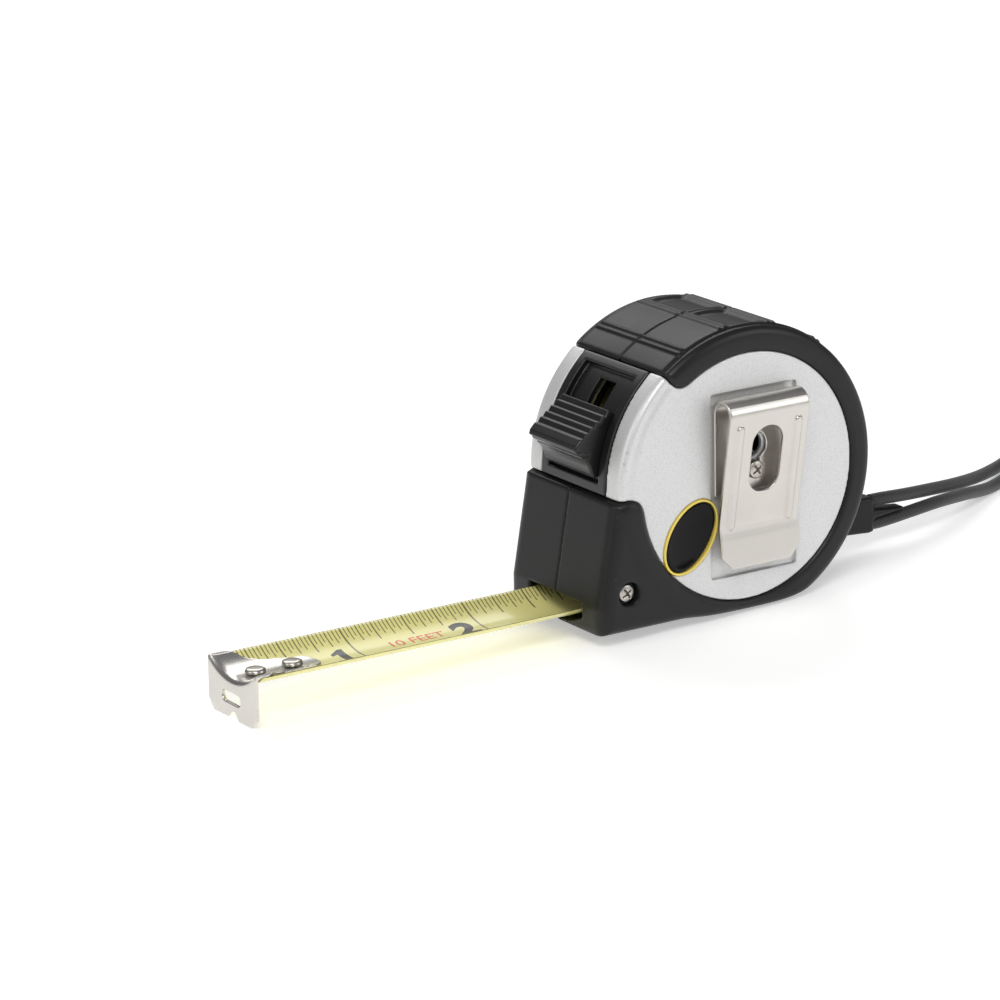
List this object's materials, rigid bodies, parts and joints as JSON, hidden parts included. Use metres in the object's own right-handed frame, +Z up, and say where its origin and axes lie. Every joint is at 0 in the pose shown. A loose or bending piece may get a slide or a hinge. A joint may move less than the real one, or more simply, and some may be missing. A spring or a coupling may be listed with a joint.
{
  "type": "tape measure",
  "caption": "Pocket tape measure: hooked steel blade on a sprung reel, two-shell round case with grip bumpers, sliding blade lock, brake button, belt clip and wrist strap.",
  "frame": {"origin": "on the flat base of the case, under the middle of the round case and midway between its two side faces", "axes": "+Z up from the base, the blade runs out along -X, +Y away from the belt clip, which is on the -Y side"},
  "size_m": [0.2288, 0.0463, 0.0575],
  "materials": {
    "silver_shell": "satin silver-coloured plastic",
    "black_bumper": "matt black moulded grip",
    "black_plastic": "fine matt black plastic",
    "gloss_black": "polished black plastic",
    "yellow_trim": "glossy yellow plastic",
    "blade_paint": "yellow-painted spring steel with printed marks",
    "plated_steel": "bright plated steel",
    "spring_steel": "plain spring steel",
    "white_plastic": "natural white plastic",
    "strap_cord": "black braided cord"
  },
  "bodies": {
    "case": {"shell_clip_side": "silver_shell", "shell_far_side": "silver_shell", "bumper_clip_side": "black_bumper", "bumper_far_side": "black_bumper", "lock_track": "black_plastic", "lever_pin": "spring_steel", "lever_spring": "spring_steel", "tape_feed": "blade_paint", "centre_post": "spring_steel", "button_ring": "yellow_trim", "button_spring": "spring_steel", "clip_plate": "plated_steel", "clip_screw": "spring_steel", "nose_screw": "spring_steel", "strap_pin": "spring_steel", "strap_tab": "black_plastic", "wrist_strap": "strap_cord"},
    "tape": {"tape_blade": "blade_paint", "hook_rivets": "plated_steel"},
    "hook": {"end_hook": "plated_steel"},
    "reel": {"reel_drum": "black_plastic", "reel_cover": "black_plastic", "tape_coil": "blade_paint", "mainspring": "spring_steel"},
    "lock_slider": {"lock_slider": "black_plastic"},
    "lock_lever": {"lock_lever": "white_plastic"},
    "brake": {"brake_button": "gloss_black", "brake_pad": "white_plastic"},
    "clip": {"clip_leaf": "plated_steel"}
  },
  "joints": [
    {"name": "tape_slide", "type": "slide", "parent": "case", "child": "tape", "axis": [-1, 0, 0], "range_m": [-0.0644, 2.9825], "deforming": ["tape_blade"]},
    {"name": "hook_float", "type": "slide", "parent": "tape", "child": "hook", "axis": [1, 0, 0], "range_m": [0, 0.0008]},
    {"name": "reel_turn", "type": "hinge", "parent": "case", "child": "reel", "pos_m": [0.0013, 0, 0.0261], "axis": [0, 1, 0], "range_deg": [-208, 9605], "deforming": ["mainspring"]},
    {"name": "lock_slide", "type": "hinge", "parent": "case", "child": "lock_slider", "pos_m": [0, 0, 0.0249], "axis": [0, 1, 0], "range_deg": [0, 14]},
    {"name": "lever_turn", "type": "hinge", "parent": "case", "child": "lock_lever", "pos_m": [-0.0208, 0, 0.012], "axis": [0, 1, 0], "range_deg": [-3, 0], "deforming": ["lever_spring"]},
    {"name": "brake_press", "type": "slide", "parent": "case", "child": "brake", "axis": [0, 1, 0], "range_m": [0, 0.0016], "stiffness_N_per_m": 900, "springref_m": -0.0006, "deforming": ["button_spring"]},
    {"name": "clip_flex", "type": "hinge", "parent": "case", "child": "clip", "pos_m": [0.0013, -0.01695, 0.0375], "axis": [-1, 0, 0], "range_deg": [0, 10], "stiffness_Nm_per_rad": 0.6, "springref_deg": -2.86}
  ],
  "couplings": [
    {"joint": "reel_turn", "follows": "tape_slide", "rad_per_m": 56.2},
    {"joint": "lever_turn", "follows": "lock_slide", "ratio": -0.2}
  ]
}
